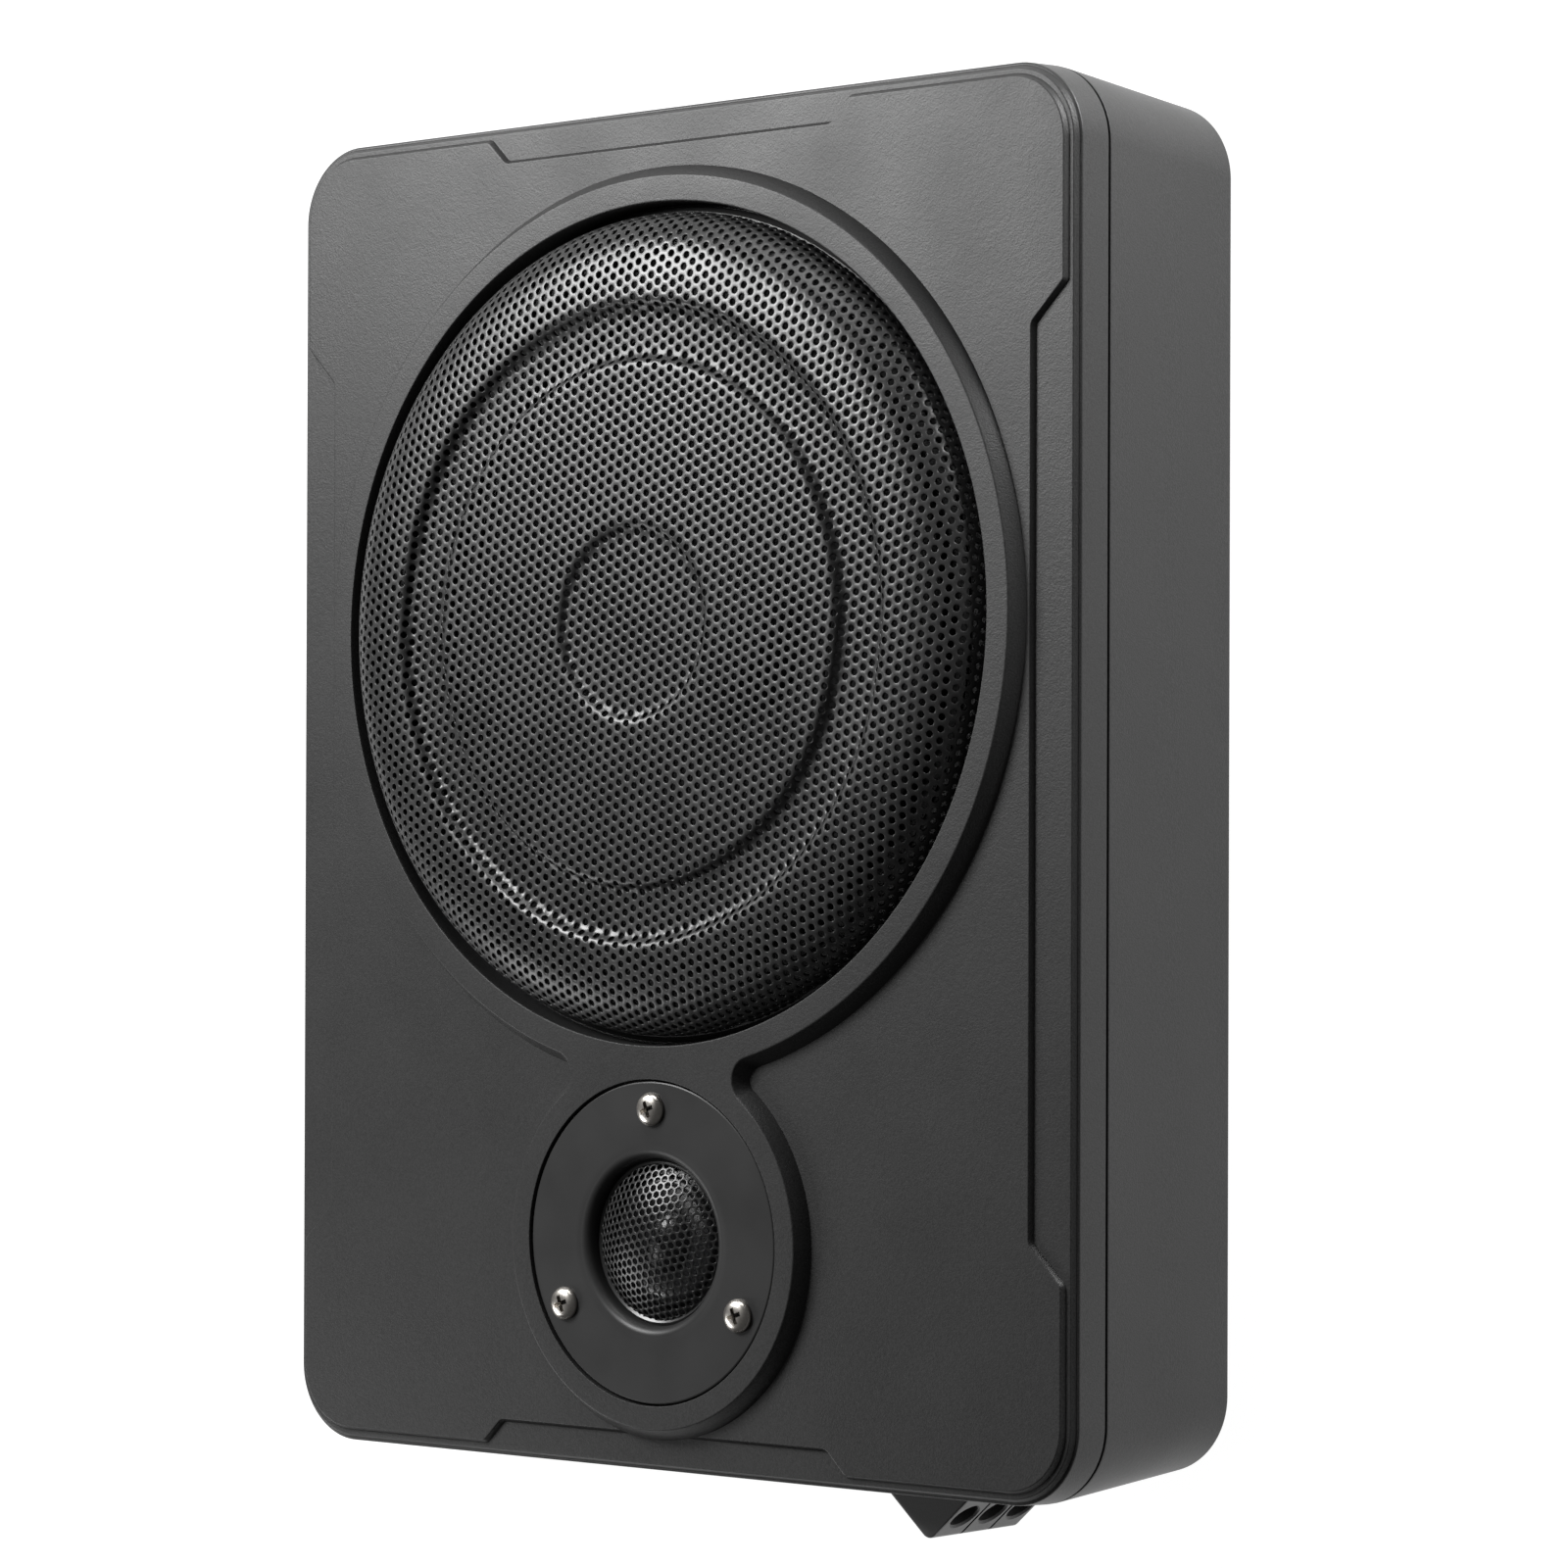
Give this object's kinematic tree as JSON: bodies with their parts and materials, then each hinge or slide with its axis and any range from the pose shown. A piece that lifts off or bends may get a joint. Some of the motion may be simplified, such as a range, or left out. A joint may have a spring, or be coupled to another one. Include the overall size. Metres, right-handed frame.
{
  "type": "powered car subwoofer",
  "caption": "Slim powered car subwoofer lying on its back, with a dished round woofer grille, a dome tweeter, recessed controls and a wire terminal.",
  "frame": {"origin": "bottom centre of the box round the whole object, the wire terminal included, on the surface that the four feet stand on", "axes": "+Z out of the grille, square to the front; +Y along the long side, from the tweeter to the woofer; +X to the right as the front is read with the woofer up. The controls and the terminal are on the -Y end"},
  "size_m": [0.26, 0.357, 0.0781],
  "materials": {
    "cover_paint": "satin textured dark grey paint on cast aluminium",
    "housing_paint": "satin textured dark grey paint on cast aluminium",
    "grille_paint": "satin powder coat on perforated steel",
    "black_plastic": "matt moulded",
    "satin_plastic": "satin moulded",
    "rubber": "matt",
    "foam": "closed-cell foam",
    "nickel": "nickel plated",
    "zinc": "zinc plated",
    "brass": "plain",
    "gold": "gold plated",
    "cast_steel": "black painted pressed steel",
    "ferrite": "ceramic magnet, matt",
    "pulp_cone": "pressed pulp",
    "spider_cloth": "resin treated cloth",
    "copper": "enamelled copper winding",
    "silk": "coated silk",
    "circuit_board": "green solder mask",
    "aluminium": "plain extruded",
    "led_blue": "clear tinted",
    "fuse_blue": "translucent"
  },
  "bodies": {
    "chassis": {"front_cover": "cover_paint", "rear_housing": "housing_paint", "case_seal": "foam", "case_screw_1": "zinc", "case_screw_2": "zinc", "case_screw_3": "zinc", "case_screw_4": "zinc", "case_screw_5": "zinc", "case_screw_6": "zinc", "foot_1": "rubber", "foot_2": "rubber", "foot_3": "rubber", "foot_4": "rubber", "woofer_grille": "grille_paint", "woofer_basket": "cast_steel", "woofer_gasket": "foam", "woofer_screw_1": "zinc", "woofer_screw_2": "zinc", "woofer_screw_3": "zinc", "woofer_screw_4": "zinc", "woofer_yoke": "zinc", "woofer_magnet": "ferrite", "woofer_top_plate": "zinc", "woofer_surround": "rubber", "woofer_spider": "spider_cloth", "tweeter_faceplate": "satin_plastic", "tweeter_screw_1": "nickel", "tweeter_screw_2": "nickel", "tweeter_screw_3": "nickel", "tweeter_mesh": "grille_paint", "tweeter_magnet": "ferrite", "amplifier_board": "circuit_board", "heat_sink": "aluminium", "capacitor_1": "satin_plastic", "capacitor_2": "satin_plastic", "woofer_lead": "rubber", "tweeter_lead": "rubber", "control_panel": "black_plastic", "rca_socket_left": "gold", "rca_socket_right": "gold", "high_level_socket": "black_plastic", "remote_port": "black_plastic", "fuse_holder": "black_plastic", "power_led": "led_blue", "terminal_block": "black_plastic"},
    "woofer_cone_set": {"voice_coil": "copper", "woofer_cone": "pulp_cone", "dust_cap": "pulp_cone"},
    "tweeter_dome_body": {"tweeter_dome": "silk"},
    "gain_knob_body": {"gain_knob": "satin_plastic"},
    "crossover_knob_body": {"crossover_knob": "satin_plastic"},
    "bass_boost_knob_body": {"bass_boost_knob": "satin_plastic"},
    "phase_switch_body": {"phase_switch": "satin_plastic"},
    "fuse_body": {"fuse": "fuse_blue"},
    "terminal_screw_body_1": {"terminal_screw_1": "zinc"},
    "terminal_clamp_body_1": {"terminal_clamp_1": "brass"},
    "terminal_screw_body_2": {"terminal_screw_2": "zinc"},
    "terminal_clamp_body_2": {"terminal_clamp_2": "brass"},
    "terminal_screw_body_3": {"terminal_screw_3": "zinc"},
    "terminal_clamp_body_3": {"terminal_clamp_3": "brass"}
  },
  "joints": [
    {"name": "woofer_travel", "type": "slide", "parent": "chassis", "child": "woofer_cone_set", "axis": [0, 0, 1], "range_m": [-0.004, 0.004], "stiffness_N_per_m": 2000, "deforming": ["woofer_surround", "woofer_spider"]},
    {"name": "tweeter_travel", "type": "slide", "parent": "chassis", "child": "tweeter_dome_body", "axis": [0, 0, 1], "range_m": [-0.0003, 0.0003], "stiffness_N_per_m": 500},
    {"name": "gain_turn", "type": "hinge", "parent": "chassis", "child": "gain_knob_body", "pos_m": [-0.044, -0.159, 0.028], "axis": [0, -1, 0], "range_deg": [-135, 135]},
    {"name": "crossover_turn", "type": "hinge", "parent": "chassis", "child": "crossover_knob_body", "pos_m": [-0.024, -0.159, 0.028], "axis": [0, -1, 0], "range_deg": [-135, 135]},
    {"name": "bass_boost_turn", "type": "hinge", "parent": "chassis", "child": "bass_boost_knob_body", "pos_m": [-0.004, -0.159, 0.028], "axis": [0, -1, 0], "range_deg": [-135, 135]},
    {"name": "phase_slide", "type": "slide", "parent": "chassis", "child": "phase_switch_body", "axis": [1, 0, 0], "range_m": [0, 0.0028]},
    {"name": "fuse_pull", "type": "slide", "parent": "chassis", "child": "fuse_body", "axis": [0, -1, 0], "range_m": [0, 0.02]},
    {"name": "terminal_screw_turn_1", "type": "hinge", "parent": "chassis", "child": "terminal_screw_body_1", "pos_m": [0.06675, -0.17265, 0.02167], "axis": [0.6549, 0.7557, 0], "range_deg": [0, 1440]},
    {"name": "terminal_clamp_slide_1", "type": "slide", "parent": "chassis", "child": "terminal_clamp_body_1", "axis": [0.6549, 0.7557, 0], "range_m": [0, 0.002]},
    {"name": "terminal_screw_turn_2", "type": "hinge", "parent": "chassis", "child": "terminal_screw_body_2", "pos_m": [0.06675, -0.17265, 0.033], "axis": [0.6549, 0.7557, 0], "range_deg": [0, 1440]},
    {"name": "terminal_clamp_slide_2", "type": "slide", "parent": "chassis", "child": "terminal_clamp_body_2", "axis": [0.6549, 0.7557, 0], "range_m": [0, 0.002]},
    {"name": "terminal_screw_turn_3", "type": "hinge", "parent": "chassis", "child": "terminal_screw_body_3", "pos_m": [0.06675, -0.17265, 0.04433], "axis": [0.6549, 0.7557, 0], "range_deg": [0, 1440]},
    {"name": "terminal_clamp_slide_3", "type": "slide", "parent": "chassis", "child": "terminal_clamp_body_3", "axis": [0.6549, 0.7557, 0], "range_m": [0, 0.002]}
  ],
  "couplings": [
    {"joint": "terminal_screw_turn_1", "follows": "terminal_clamp_slide_1", "rad_per_m": 12566},
    {"joint": "terminal_screw_turn_2", "follows": "terminal_clamp_slide_2", "rad_per_m": 12566},
    {"joint": "terminal_screw_turn_3", "follows": "terminal_clamp_slide_3", "rad_per_m": 12566}
  ]
}
